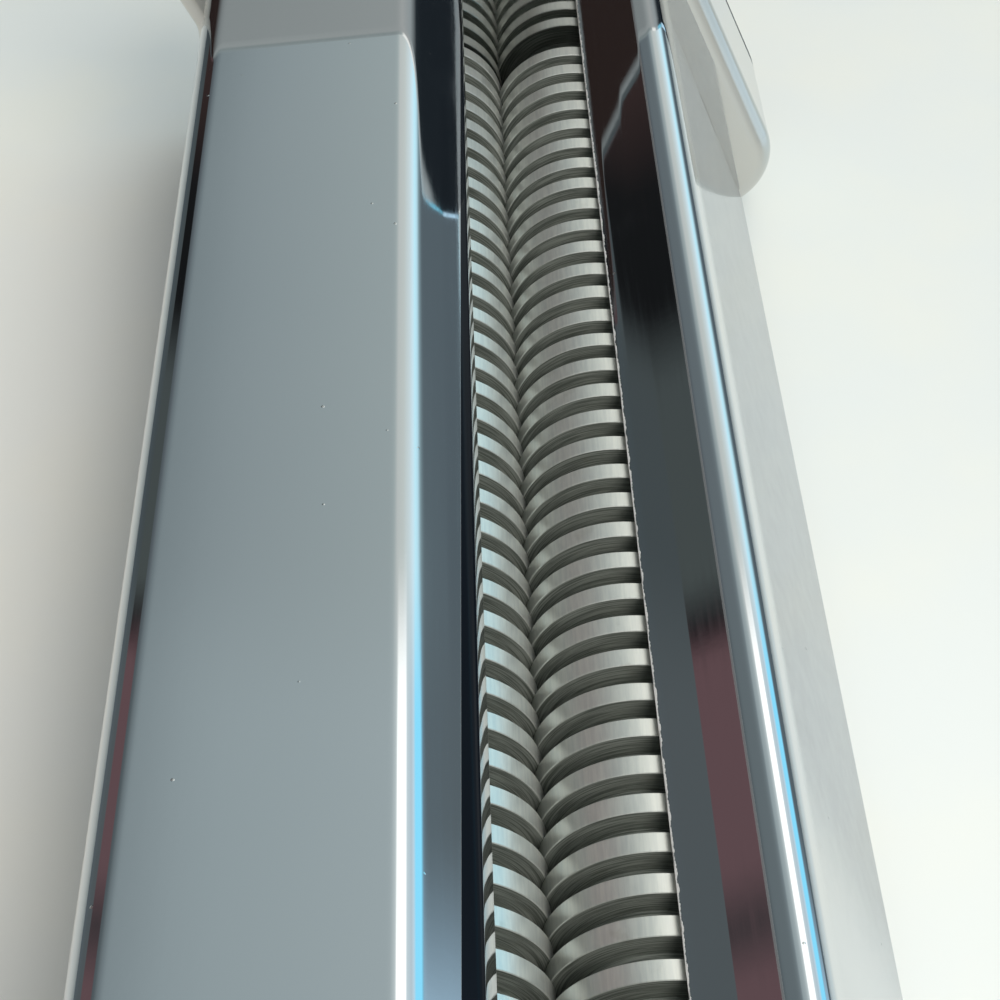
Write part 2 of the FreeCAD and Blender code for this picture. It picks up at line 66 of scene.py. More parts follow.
# ---- rollers ----
ring_pitch = 4.0 * MM
ring_width = 1.95 * MM
groove_radius = 6.9 * MM
front_ring_count = 37
rear_ring_count = 38
roller_half_length = 75.0 * MM
journal_radius = 4.0 * MM
shaft_flat = 3.2 * MM
shaft_flat_start_x = 82.5 * MM
flat_step = 0.01 * MM
clip_groove_radius = 3.3 * MM
clip_thickness = 0.8 * MM
gear_clip_x = 91.7 * MM
rear_clip_x = -83.3 * MM
ring_chamfer = 0.07 * MM
shaft_chamfer = 0.4 * MM
roller_segments = 160

# ---- covers ----
cover_thickness = 0.8 * MM
tab_length = 2.0 * MM
cut_edge_round = 0.18 * MM
edge_points = 8
section_points = 520
section_blur = 1.5
cover_stations = 25
arc_steps = 24

# Places in the covers' sections, as (y, z) or (y, z, bend radius), in millimetres about the nip.
rear_lip_knee = {"crank": (5.66, 10.98), "gear": (4.78, 9.93)}
rear_lip_bend = {"crank": (7.7, 12.7), "gear": (5.1, 10.3)}
rear_lip_bend_radius = 0.2
rear_lip_edge = (4.6, 9.7)
rear_ridge = (11.45, 15.5, 4.1)
rear_wall_y = 38.2
rear_top_edge_z = 14.2
rear_top_edge_radius = 3.5
front_lip_edge = (-10.16, 10.3)
front_lip_bend = {"crank": (-13.6, 13.4), "gear": (-11.0, 11.1)}
front_lip_bend_radius = 1.0
front_ridge = [(-16.75, 14.93, 0.5), (-20.12, 16.05, 2.5)]
front_crease_y = -16.72
front_foot_y = -34.9
foot_z = -19.0
foot_flange = 4.0
foot_bend_radius = 1.5


def rear_cover_path(end):
    return [
        (*rear_lip_edge, 0),
        (*rear_lip_knee[end], 0),
        (*rear_lip_bend[end], rear_lip_bend_radius),
        rear_ridge,
        (rear_wall_y, rear_top_edge_z, rear_top_edge_radius),
        (rear_wall_y, foot_z, foot_bend_radius),
        (rear_wall_y - foot_flange, foot_z, 0),
    ]


def front_cover_path(end):
    return [
        (*front_lip_edge, 0),
        (*front_lip_bend[end], front_lip_bend_radius),
        *front_ridge,
        (front_foot_y, foot_z, foot_bend_radius),
        (front_foot_y + foot_flange, foot_z, 0),
    ]


# ---------------------------------------------------------------- mesh helpers

def shade_smooth(mesh):
    for polygon in mesh.polygons:
        polygon.use_smooth = True
    mesh.set_sharp_from_angle(angle=sharp_angle)


def make_piece(name, vertices, faces, body, replaced):
    """A smooth-shaded mesh object that stands for CAD nodes and rides on their body."""
    mesh = bpy.data.meshes.new(name)
    mesh.from_pydata([tuple(vertex) for vertex in vertices], [], faces)
    mesh.validate()
    piece = bpy.data.objects.new(name, mesh)
    bpy.context.scene.collection.objects.link(piece)
    shade_smooth(mesh)
    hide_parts(*replaced)
    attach(piece, body)
    return piece


def polyline_of(path):
    """The section path as points, each bend as an arc."""
    corners = [Vector((y, z)) * MM for y, z, _ in path]
    points = [corners[0]]
    for index in range(1, len(path) - 1):
        corner = corners[index]
        radius = path[index][2] * MM
        if radius == 0:
            points.append(corner)
            continue
        to_before = (corners[index - 1] - corner).normalized()
        to_after = (corners[index + 1] - corner).normalized()
        half_angle = to_before.angle(to_after) / 2
        centre = corner + (to_before + to_after).normalized() * (radius / math.sin(half_angle))
        reach = radius / math.tan(half_angle)
        start = corner + to_before * reach - centre
        sweep = start.angle_signed(corner + to_after * reach - centre)
        for step in range(arc_steps + 1):
            turn = Matrix.Rotation(-sweep * step / arc_steps, 2)
            points.append(centre + turn @ start)
    points.append(corners[-1])
    return np.array([tuple(point) for point in points])


def resampled(points, count):
    """The polyline with its points spread evenly along it."""
    lengths = np.linalg.norm(np.diff(points, axis=0), axis=1)
    along = np.concatenate([[0], np.cumsum(lengths)])
    even = np.linspace(0, along[-1], count)
    return np.stack([np.interp(even, along, points[:, axis]) for axis in (0, 1)], axis=1)


def softened(points, sigma):
    """The evenly spaced polyline blurred along itself, so that bends blend into the flats."""
    reach = int(sigma * 3) + 1
    weights = np.exp(-0.5 * (np.arange(-reach, reach + 1) / sigma) ** 2)
    weights /= weights.sum()
    before = 2 * points[0] - points[reach:0:-1]
    after = 2 * points[-1] - points[-2:-reach - 2:-1]
    padded = np.concatenate([before, points, after])
    blurred = [np.convolve(padded[:, axis], weights, mode="valid") for axis in (0, 1)]
    return np.stack(blurred, axis=1)


def sheet_section(path):
    """The closed outline of a bent sheet, and how many of its points are on the visible side."""
    visible = softened(resampled(polyline_of(path), section_points), section_blur)
    tangents = np.gradient(visible, axis=0)
    tangents /= np.linalg.norm(tangents, axis=1)[:, None]
    inward = np.stack([tangents[:, 1], -tangents[:, 0]], axis=1)
    if path[0][0] < 0:
        inward = -inward
    hidden = visible + inward * cover_thickness

    def rounded_edge(index, outward):
        """Points round the cut edge of the sheet, from the visible to the hidden side."""
        across = inward[index]
        points = []
        for centre_depth, start in ((cut_edge_round, 180), (cover_thickness - cut_edge_round, 90)):
            for angle in (start, start - 30, start - 60, start - 90):
                turn = math.radians(angle)
                offset = across * math.cos(turn) + outward * math.sin(turn)
                points.append(visible[index] + across * centre_depth
                              + (offset - outward) * cut_edge_round)
        return points

    start_edge = rounded_edge(0, -tangents[0])
    end_edge = rounded_edge(-1, tangents[-1])
    outline = list(visible[1:-1]) + end_edge + list(hidden[-2:0:-1]) + start_edge[::-1]
    return np.array(outline), len(visible) - 2


# ---------------------------------------------------------------- covers

def in_tab(y, z, zones):
    return any(
        low_y <= y <= high_y and low_z <= z <= high_z
        for (low_y, high_y), (low_z, high_z) in zones
    )


def build_cover(node, path_at, tab_zones):
    """A bent sheet lofted from its crank-end section to its gear-end section, with end tabs."""
    stations = cover_stations
    crank_outline, visible_count = sheet_section(path_at("crank"))
    gear_outline, _ = sheet_section(path_at("gear"))
    ring = len(crank_outline)
    vertices = []
    for station in range(stations):
        share = station / (stations - 1)
        x = -housing_face_x + 2 * housing_face_x * share
        for y, z in crank_outline * (1 - share) + gear_outline * share:
            vertices.append((x, nip_y + y, nip_z + z))
    faces = []
    for station in range(stations - 1):
        for index in range(ring):
            after = (index + 1) % ring
            low, high = station * ring, (station + 1) * ring
            faces.append((low + index, low + after, high + after, high + index))
    last = (stations - 1) * ring
    hidden_start = visible_count + edge_points
    strip = [(index, hidden_start + visible_count - 1 - index) for index in range(visible_count)]
    for (near, near_hidden), (far, far_hidden) in zip(strip, strip[1:]):
        faces.append((near, near_hidden, far_hidden, far))
        faces.append((last + near, last + far, last + far_hidden, last + near_hidden))
    start_points = list(range(ring - 1, hidden_start + visible_count - 1, -1))
    start_edge = [strip[0][0]] + start_points + [strip[0][1]]
    end_edge = list(range(visible_count - 1, hidden_start + 1))
    for edge in (start_edge, end_edge):
        faces.append(tuple(edge))
        faces.append(tuple(last + index for index in reversed(edge)))
    cover = make_piece(node + "_sheet", vertices, faces, "frame", [node])
    add_tabs(cover.data, tab_zones)
    mark_cut_edges(cover.data, visible_count, hidden_start, ring)
    return cover


def add_tabs(mesh, zones):
    """Draws the end faces in the tab zones out by the tab length."""
    shape = bmesh.new()
    shape.from_mesh(mesh)
    bmesh.ops.recalc_face_normals(shape, faces=shape.faces)
    for side in (-1, 1):
        chosen = []
        for face in shape.faces:
            centre = face.calc_center_median()
            at_end = abs(centre.x - side * housing_face_x) < 0.001 * MM
            if at_end and in_tab((centre.y - nip_y) / MM, (centre.z - nip_z) / MM, zones):
                chosen.append(face)
        drawn = bmesh.ops.extrude_face_region(shape, geom=chosen)["geom"]
        moved = [item for item in drawn if isinstance(item, bmesh.types.BMVert)]
        bmesh.ops.translate(shape, verts=moved, vec=X_AXIS * side * tab_length)
        bmesh.ops.delete(shape, geom=chosen, context="FACES_ONLY")
    bmesh.ops.recalc_face_normals(shape, faces=shape.faces)
    shape.to_mesh(mesh)
    shape.free()
    shade_smooth(mesh)


def mark_cut_edges(mesh, visible_count, hidden_start, ring):
    """Gives the faces of the sheet's cut edges the second material."""
    for polygon in mesh.polygons:
        places = [index % ring for index in polygon.vertices]
        at_end = visible_count <= min(places) and max(places) < hidden_start
        at_start = hidden_start + visible_count <= min(places)
        if at_end or at_start:
            polygon.material_index = 1


# ---------------------------------------------------------------- rollers

def roller_profile(ring_count, crank_end, gear_end, clip_places):
    """The roller's outline as (x, radius), from its crank end to its gear end."""
    profile = [
        (crank_end, 0),
        (crank_end, journal_radius - shaft_chamfer),
        (crank_end + shaft_chamfer, journal_radius),
    ]

    def clip_groove(start):
        return [
            (start, journal_radius),
            (start, clip_groove_radius),
            (start + clip_thickness, clip_groove_radius),
            (start + clip_thickness, journal_radius),
        ]

    for start in clip_places:
        if start < 0:
            profile += clip_groove(start)
    profile += [(-roller_half_length, journal_radius), (-roller_half_length, groove_radius)]
    first_x = -(ring_count - 1) * ring_pitch / 2
    for index in range(ring_count):
        centre = first_x + index * ring_pitch
        low = max(centre - ring_width / 2, -roller_half_length)
        high = min(centre + ring_width / 2, roller_half_length)
        profile += [
            (low, groove_radius),
            (low, ring_radius - ring_chamfer),
            (low + ring_chamfer, ring_radius),
            (high - ring_chamfer, ring_radius),
            (high, ring_radius - ring_chamfer),
            (high, groove_radius),
        ]
    profile += [(roller_half_length, groove_radius), (roller_half_length, journal_radius)]
    profile += [(shaft_flat_start_x - flat_step, journal_radius), (shaft_flat_start_x, journal_radius)]
    for start in clip_places:
        if start > 0:
            profile += clip_groove(start)
    profile += [
        (gear_end - shaft_chamfer, journal_radius),
        (gear_end, journal_radius - shaft_chamfer),
        (gear_end, 0),
    ]
    clean = [profile[0]]
    for point in profile[1:]:
        if math.dist(point, clean[-1]) > 1e-8:
            clean.append(point)
    return clean


def build_roller(node, body, axis, profile):
    """The profile revolved about the roller's axis, with the flat for its gear."""
    vertices = []
    faces = []
    count = roller_segments
    inner = profile[1:-1]
    for x, radius in inner:
        for segment in range(count):
            angle = 2 * math.pi * segment / count
            y, z = radius * math.cos(angle), radius * math.sin(angle)
            if x >= shaft_flat_start_x:
                z = min(z, shaft_flat)
            vertices.append((x, axis.y + y, axis.z + z))
    for index in range(len(inner) - 1):
        low, high = index * count, (index + 1) * count
        for segment in range(count):
            after = (segment + 1) % count
            faces.append((low + segment, low + after, high + after, high + segment))
    last = (len(inner) - 1) * count
    faces.append(tuple(range(count - 1, -1, -1)))
    faces.append(tuple(range(last, last + count)))
    return make_piece(node + "_turned", vertices, faces, body, [node])


# ---------------------------------------------------------------- material helpers

class Nodes:
    """A node tree, with short calls for the nodes that the finishes and the room below use."""

    def __init__(self, tree):
        self.tree = tree

    def add(self, kind, **settings):
        node = self.tree.nodes.new("ShaderNode" + kind)
        for key, value in settings.items():
            setattr(node, key, value)
        return node

    def put(self, socket, value):
        """Links an output to the socket, or sets the socket to a number or colour."""
        if isinstance(value, bpy.types.NodeSocket):
            self.tree.links.new(value, socket)
        else:
            socket.default_value = value

    def axes_of(self, vector):
        parts = self.add("SeparateXYZ")
        self.put(parts.inputs[0], vector)
        return parts.outputs["X"], parts.outputs["Y"], parts.outputs["Z"]

    def vector_of(self, **axes):
        node = self.add("CombineXYZ")
        for axis, value in axes.items():
            self.put(node.inputs[axis], value)
        return node.outputs[0]

    def place(self, scale=(1, 1, 1), centre=(0, 0, 0)):
        """Object coordinates about the centre, scaled per axis."""
        mapping = self.add("Mapping", vector_type="POINT")
        self.put(mapping.inputs["Vector"], self.add("TexCoord").outputs["Object"])
        mapping.inputs["Scale"].default_value = scale
        mapping.inputs["Location"].default_value = [-c * k for c, k in zip(centre, scale)]
        return mapping.outputs["Vector"]

    def math(self, operation, first, second=0.0):
        node = self.add("Math", operation=operation)
        self.put(node.inputs[0], first)
        self.put(node.inputs[1], second)
        return node.outputs[0]

    def product(self, first, *others):
        for other in others:
            first = self.math("MULTIPLY", first, other)
        return first

    def noise(self, vector, scale, detail=3.0, rough=0.55):
        node = self.add("TexNoise")
        self.put(node.inputs["Vector"], vector)
        node.inputs["Scale"].default_value = scale
        node.inputs["Detail"].default_value = detail
        node.inputs["Roughness"].default_value = rough
        return node.outputs["Fac"]

    def cells(self, vector, scale):
        """Distance to the nearest of many scattered points, and that point's own random number."""
        node = self.add("TexVoronoi")
        self.put(node.inputs["Vector"], vector)
        node.inputs["Scale"].default_value = scale
        pick = self.add("SeparateColor")
        self.put(pick.inputs[0], node.outputs["Color"])
        return node.outputs["Distance"], pick.outputs[0]

    def span(self, value, low, high, to_low, to_high):
        """The value's range stretched to another one, clamped at both ends."""
        node = self.add("MapRange", interpolation_type="SMOOTHSTEP")
        for socket, given in zip(node.inputs, (value, low, high, to_low, to_high)):
            self.put(socket, given)
        return node.outputs["Result"]

    def mixed(self, share, first, second):
        """The first colour where share is 0, the second where it is 1."""
        node = self.add("Mix", data_type="RGBA")
        self.put(node.inputs["Factor"], share)
        self.put(node.inputs["A"], first)
        self.put(node.inputs["B"], second)
        return node.outputs["Result"]

    def specks(self, vector, scale, size, share):
        """1 on a few scattered dots, 0 elsewhere."""
        distance, number = self.cells(vector, scale)
        dot = self.span(distance, size * 0.5, size, 1.0, 0.0)
        return self.product(dot, self.math("LESS_THAN", number, share))

    def bump(self, height, depth, under=None):
        """Normals from a height of 0 to 1 that stands for depth in metres."""
        node = self.add("Bump")
        node.inputs["Strength"].default_value = 1
        node.inputs["Distance"].default_value = depth
        self.put(node.inputs["Height"], height)
        if under is not None:
            self.put(node.inputs["Normal"], under)
        return node.outputs["Normal"]


class Finish(Nodes):
    """A material made of nodes."""

    def __init__(self, name):
        self.material = bpy.data.materials.new(name)
        self.material.use_nodes = True
        super().__init__(self.material.node_tree)
        self.shader = self.tree.nodes["Principled BSDF"]

    def finish(self, colour, roughness, normal, metallic=0.0):
        self.put(self.shader.inputs["Base Color"], colour)
        self.put(self.shader.inputs["Roughness"], roughness)
        self.put(self.shader.inputs["Normal"], normal)
        self.put(self.shader.inputs["Metallic"], metallic)
        return self.material


def srgb(red, green, blue, strength=1.0):
    """A colour given as it looks on screen, 0 to 255, as linear light."""
    def light(value):
        share = value / 255
        return share / 12.92 if share <= 0.04045 else ((share + 0.055) / 1.055) ** 2.4
    return (light(red) * strength, light(green) * strength, light(blue) * strength, 1)


# ---------------------------------------------------------------- finishes

# Painted shade: a dark matte colour, with a faint gloss, laid on the chrome where it shows dark
# reflections.
painted_shade_colour = srgb(14, 18, 24)
painted_shade_gloss = 0.05
# Painted highlight: a near-white, mostly matte colour painted on the torn rim of the front lip as its
# glint.
rim_glint_colour = srgb(252, 250, 246)
rim_roughness = 0.4
rim_share_not_metal = 0.85


def chrome_finish(name, colour, worn_colour, painted_shade_mask=None, rim=None):
    """Polished chrome on bent sheet: slight waves, orange peel, hairlines, smudges and dust.

    The painted shade mask and the rim, if given, are functions that return where a dark matte colour
    is painted as shade for dark reflections, and where the torn rim of a sheared edge lies with a
    painted glint, 0 to 1.  A rim goes only with a painted shade mask."""
    n = Finish(name)
    here = n.place()
    hairlines = n.noise(n.place((60, 2600, 2600)), 1, 2)
    smudges = n.span(n.noise(here, 55, 5), 0.52, 0.72, 0, 1)
    dust = n.specks(here, 520, 0.10, 0.05)
    scratches = n.span(n.noise(n.place((900, 14, 14)), 1, 3), 0.70, 0.76, 0, 1)
    tone = n.mixed(n.noise(here, 24, 3), colour, worn_colour)
    tone = n.mixed(n.product(dust, 0.7), tone, srgb(205, 203, 196))
    rough = n.math("ADD", n.span(hairlines, 0.3, 0.8, 0.03, 0.07), n.product(smudges, 0.04))
    rough = n.math("ADD", rough, n.product(dust, 0.35))
    rough = n.math("ADD", rough, n.product(scratches, 0.06))
    waves = n.bump(n.noise(here, 26, 1), 0.05 * MM)
    peel = n.bump(n.noise(here, 700, 2), 0.0008 * MM, waves)
    normal = n.bump(dust, 0.02 * MM, peel)
    metallic = 1.0
    # Painted shade: where the mask says, the chrome turns to the dark matte colour, standing for dark
    # reflections.
    if painted_shade_mask is not None:
        shade_share = painted_shade_mask(n)
        tone = n.mixed(shade_share, tone, painted_shade_colour)
        metallic = n.math("SUBTRACT", 1.0, shade_share)
        n.shader.inputs["Specular IOR Level"].default_value = painted_shade_gloss
    # The rim is a torn bare edge; its near-white matte colour is a painted glint.
    if rim is not None:
        torn = rim(n)
        tone = n.mixed(torn, tone, rim_glint_colour)
        rough = n.math("MAXIMUM", rough, n.product(torn, rim_roughness))
        bare = n.math("SUBTRACT", 1.0, n.product(torn, rim_share_not_metal))
        metallic = n.product(bare, metallic)
    return n.finish(tone, rough, normal, metallic)


def rear_lip_painted_shade(n):
    """Painted shade: the strip along the rear lip, between its lower edge and its slightly skew upper
    edge, painted dark for the dark reflections it shows.
    """
    x, y, _ = n.axes_of(n.place())
    soft = 0.03 * MM

    def skewed(place):
        (crank_y, _), (gear_y, _) = place["crank"], place["gear"]
        middle = (crank_y + gear_y) / 2 * MM + nip_y
        slope = (gear_y - crank_y) * MM / (2 * housing_face_x)
        return n.math("ADD", n.product(x, slope), middle)

    above_low = n.math("SUBTRACT", y, skewed(rear_lip_knee))
    below_high = n.math("SUBTRACT", skewed(rear_lip_bend), y)
    return n.product(n.span(above_low, -soft, soft, 0, 1), n.span(below_high, -soft, soft, 0, 1))


def front_cover_painted_shade(n):
    """Painted shade on the front cover: a dark line along the crease below the front ridge, and the
    sloping face painted darker, less so near the crank end."""
    x, y, z = n.axes_of(n.place())
    from_crease = n.math("ABSOLUTE", n.math("SUBTRACT", y, nip_y + front_crease_y * MM))
    on_ridge = n.math("GREATER_THAN", z, nip_z + 10 * MM)
    # Painted shade: a dark line along the crease, and the sloping face painted darker, less so near
    # the crank end.
    crease = n.product(n.span(from_crease, 0.05 * MM, 0.13 * MM, 1, 0), on_ridge, 0.6)
    sloping = n.span(y, nip_y - 22.5 * MM, nip_y - 21.5 * MM, 1, 0)
    painted_darkening = n.span(x, -60 * MM, -36 * MM, 0.05, 0.52)
    mottling = n.span(n.noise(n.place(), 330, 5, 0.7), 0.35, 0.65, 0.92, 1.05)
    return n.math("MAXIMUM", crease, n.product(sloping, painted_darkening, mottling))


def front_lip_rim_and_glint(n):
    """The ragged rim along the front lip's sheared edge, where a near-white glint is painted."""
    _, y, z = n.axes_of(n.place())
    ragged = n.noise(n.place((800, 400, 400)), 1, 5, 0.7)
    width = n.span(ragged, 0.30, 0.70, 0.12 * MM, 0.30 * MM)
    from_edge = n.math("SUBTRACT", nip_y + front_lip_edge[0] * MM, y)
    on_lip = n.math("GREATER_THAN", z, nip_z + 9.5 * MM)
    return n.product(n.math("LESS_THAN", from_edge, width), on_lip)


def cut_edge_finish():
    """The bare sheared edge of the chrome-plated sheet: bright, torn across its thickness."""
    n = Finish("sheared_edge")
    torn = n.noise(n.place((1500, 300, 300)), 1, 4, 0.7)
    tone = n.mixed(n.span(torn, 0.35, 0.65, 0, 1), srgb(150, 140, 132), srgb(248, 244, 238))
    normal = n.bump(torn, 0.05 * MM)
    return n.finish(tone, n.span(torn, 0.3, 0.7, 0.42, 0.26), normal, 1.0)


def turned_roller_finish(name, axis):
    """Turned steel: bright ground lands and darker grooves with the tool's circular marks; the
    grooves' darkness is partly duller steel and partly painted shade.
    """
    n = Finish(name)
    centred = n.place((1, 1, 1), (0, axis.y, axis.z))
    x, y, z = n.axes_of(centred)
    length = n.add("VectorMath", operation="LENGTH")
    n.put(length.inputs[0], n.vector_of(Y=y, Z=z))
    radius = length.outputs["Value"]
    land = n.span(radius, ring_radius - 0.14 * MM, ring_radius - 0.06 * MM, 0, 1)
    angle = n.math("ARCTAN2", y, z)
    tool_path = n.math("ADD", x, radius)
    round_marks = n.vector_of(X=n.product(tool_path, 7000), Y=n.product(angle, 1.2))
    cross_marks = n.vector_of(X=n.product(x, 260), Y=n.product(angle, 26))
    circular = n.noise(round_marks, 1, 4, 0.65)
    crosswise = n.noise(cross_marks, 1, 3, 0.6)
    stains = n.span(n.noise(centred, 420, 4), 0.60, 0.74, 0, 1)
    bright = n.mixed(n.span(crosswise, 0.3, 0.7, 0, 1), srgb(204, 205, 199), srgb(217, 217, 209))
    # Grooves: darker partly as duller steel and partly as painted shade between the rings.
    dull = n.mixed(n.span(circular, 0.38, 0.62, 0, 1), srgb(112, 117, 110), srgb(172, 176, 168))
    tone = n.mixed(land, dull, bright)
    tone = n.mixed(n.product(stains, 0.14), tone, srgb(122, 116, 96))
    rough = n.add("Mix", data_type="FLOAT")
    n.put(rough.inputs["Factor"], land)
    n.put(rough.inputs["A"], n.span(circular, 0.3, 0.7, 0.42, 0.55))
    n.put(rough.inputs["B"], n.span(crosswise, 0.3, 0.7, 0.33, 0.38))
    mark_depth = 0.0022 * MM
    marks = n.bump(n.product(circular, n.math("SUBTRACT", 1.1, land)), mark_depth)
    normal = n.bump(n.product(crosswise, land), mark_depth, marks)
    metallic = n.span(land, 0, 1, 0.55, 0.68)
    return n.finish(tone, rough.outputs["Result"], normal, metallic)


def metal_finish(name, dark, light, roughness, grain=(40, 2200, 2200), depth=0.002, stain=None):
    """Bare or plated metal with directional grain, blotches and a few marks.

    Roughness is its range, grain the scale of the lines per axis, depth theirs in millimetres."""
    n = Finish(name)
    here = n.place()
    lines = n.noise(n.place(grain), 1, 3, 0.6)
    blotches = n.noise(here, 160, 4)
    tone = n.mixed(n.span(blotches, 0.3, 0.7, 0, 1), dark, light)
    tone = n.mixed(n.span(lines, 0.5, 0.9, 0, 0.5), tone, light)
    if stain is not None:
        tone = n.mixed(n.span(n.noise(here, 90, 5), 0.50, 0.72, 0, 0.55), tone, stain)
    marks = n.specks(here, 900, 0.14, 0.06)
    rough = n.math("ADD", n.span(lines, 0.3, 0.7, *roughness), n.product(marks, 0.2))
    normal = n.bump(lines, depth * MM, n.bump(marks, 0.01 * MM))
    return n.finish(tone, rough, normal, 1.0)


def moulded_finish(name, dark, light, roughness, grain_scale, depth):
    """Moulded plastic: fine spark-eroded grain, faint flow marks and handling shine.

    Roughness is where it has been handled and where not, depth the grain's in millimetres."""
    n = Finish(name)
    here = n.place()
    grain, _ = n.cells(here, grain_scale)
    fine = n.noise(here, grain_scale * 1.7, 3, 0.7)
    flow = n.noise(n.place((25, 90, 60)), 1, 3)
    handled = n.span(n.noise(here, 45, 4), 0.45, 0.7, 0, 1)
    tone = n.mixed(n.span(flow, 0.35, 0.65, 0, 1), dark, light)
    dust = n.specks(here, 600, 0.12, 0.05)
    tone = n.mixed(n.product(dust, 0.4), tone, srgb(150, 147, 140))
    height = n.math("ADD", grain, n.product(fine, 0.5))
    shiny, plain = roughness
    rough = n.span(handled, 0, 1, plain, shiny)
    return n.finish(tone, rough, n.bump(height, depth * MM), 0.0)


def bronze_finish():
    """Oil-filled sintered bronze: dull, with open pores."""
    n = Finish("sintered_bronze")
    here = n.place()
    pores = n.specks(here, 2600, 0.3, 0.5)
    tone = n.mixed(n.noise(here, 300, 4), srgb(176, 134, 84), srgb(206, 166, 112))
    tone = n.mixed(n.product(pores, 0.6), tone, srgb(92, 62, 38))
    rough = n.span(n.noise(here, 500, 3), 0.3, 0.7, 0.34, 0.5)
    return n.finish(tone, rough, n.bump(pores, -0.01 * MM), 1.0)


def make_finishes():
    """The finishes by name; the name of a part's material slot for the CAD nodes."""
    cover = (srgb(206, 209, 211), srgb(200, 204, 207))
    housing = (srgb(208, 208, 206), srgb(200, 199, 196))
    gear = (srgb(150, 147, 142), srgb(186, 184, 178), (0.28, 0.42), (1800, 120, 120), 0.003)
    gear_oil = srgb(96, 84, 60)
    screw = (srgb(182, 184, 184), srgb(214, 213, 206), (0.2, 0.32), (300, 1500, 1500), 0.002)
    screw_zinc = srgb(196, 188, 160)
    plate = (srgb(168, 170, 170), srgb(200, 199, 192), (0.26, 0.4), (300, 900, 200), 0.003)
    plate_zinc = srgb(190, 180, 150)
    clip = (srgb(52, 52, 56), srgb(80, 80, 84), (0.3, 0.45))
    socket = (srgb(178, 177, 174), srgb(208, 207, 203), (0.2, 0.34), (2400, 60, 60))
    rod = (srgb(172, 172, 170), srgb(204, 203, 200), (0.18, 0.3))
    collar = (srgb(206, 203, 192), srgb(222, 219, 210), (0.32, 0.42), 900, 0.004)
    comb = (srgb(30, 30, 31), srgb(42, 42, 43), (0.3, 0.42), 1100, 0.006)
    cap = (srgb(30, 30, 32), srgb(40, 40, 42), (0.36, 0.5), 1500, 0.02)
    # The front cover's chrome gets painted shade at its crease and sloping face, and a painted glint
    # on its lip's rim.
    front_painted_shade_and_glint = (front_cover_painted_shade, front_lip_rim_and_glint)
    return {
        # The rear cover's chrome gets painted shade along its lip.
        "rear_cover_chrome": chrome_finish("rear_cover_chrome", *cover, rear_lip_painted_shade),
        "front_cover_chrome": chrome_finish("front_cover_chrome", *cover, *front_painted_shade_and_glint),
        "sheared_edge": cut_edge_finish(),
        "housing_chrome": chrome_finish("housing_chrome", *housing),
        "gear_steel": metal_finish("gear_steel", *gear, gear_oil),
        "clip_steel": metal_finish("clip_steel", *clip),
        "socket_steel": metal_finish("socket_steel", *socket),
        "screw_steel": metal_finish("screw_steel", *screw, screw_zinc),
        "rod_steel": metal_finish("rod_steel", *rod),
        "plate_steel": metal_finish("plate_steel", *plate, plate_zinc),
        "bushing_bronze": bronze_finish(),
        "collar_nylon": moulded_finish("collar_nylon", *collar),
        "comb_nylon": moulded_finish("comb_nylon", *comb),
        "cap_plastic": moulded_finish("cap_plastic", *cap),
    }


# ---------------------------------------------------------------- covers and rollers

finishes = make_finishes()

rear_tab_zones = [((16.0, 22.0), (12.0, 18.0)), ((27.0, 33.0), (12.0, 18.0))]
front_tab_zones = [((-38.0, -24.0), (-6.0, 0.0)), ((-38.0, -24.0), (-16.0, -10.0))]
for node, path_at, zones in (
    ("rear_cover", rear_cover_path, rear_tab_zones),
    ("front_cover", front_cover_path, front_tab_zones),
):
    cover = build_cover(node, path_at, zones)
    cover.data.materials.append(finishes[node + "_chrome"])
    cover.data.materials.append(finishes["sheared_edge"])

front_ends = (front_roller_low.x, front_roller_high.x)
rear_ends = (rear_roller_low.x, rear_roller_high.x)
front_profile = roller_profile(front_ring_count, *front_ends, [gear_clip_x])
rear_profile = roller_profile(rear_ring_count, *rear_ends, [rear_clip_x - clip_thickness, gear_clip_x])
for node, body, axis, profile in (
    ("front_cutting_roller", "front_roller", front_axis, front_profile),
    ("rear_cutting_roller", "rear_roller", rear_axis, rear_profile),
):
    roller = build_roller(node, body, axis, profile)
    roller.data.materials.append(turned_roller_finish("turned_" + body, axis))

for part in frame["record"]["subparts"]:
    if part["material_slot"] in finishes:
        node = frame["nodes"][part["node"]]
        node.data.materials.clear()
        node.data.materials.append(finishes[part["material_slot"]])


# ---------------------------------------------------------------- stage, light and camera

def stage_piece(name, vertices, faces, material):
    mesh = bpy.data.meshes.new(name)
    mesh.from_pydata(vertices, [], faces)
    mesh.materials.append(material)
    piece = bpy.data.objects.new(name, mesh)
    bpy.context.scene.collection.objects.link(piece)
    return piece


def make_floor():
    """A plain pale floor with a faint gloss."""
    half = 8.0
    n = Finish("pale_floor")
    grain = n.noise(n.place(), 400, 3)
    patches = n.noise(n.place(), 22, 4)
    tone = n.mixed(n.span(patches, 0.4, 0.7, 0, 1), srgb(230, 229, 224), srgb(234, 231, 222))
    n.finish(tone, 0.22, n.bump(grain, 0.002 * MM))
    level = -0.1 * MM
    corners = [(-half, -half, level), (half, -half, level), (half, half, level), (-half, half, level)]
    stage_piece("floor", corners, [(0, 1, 2, 3)], n.material)


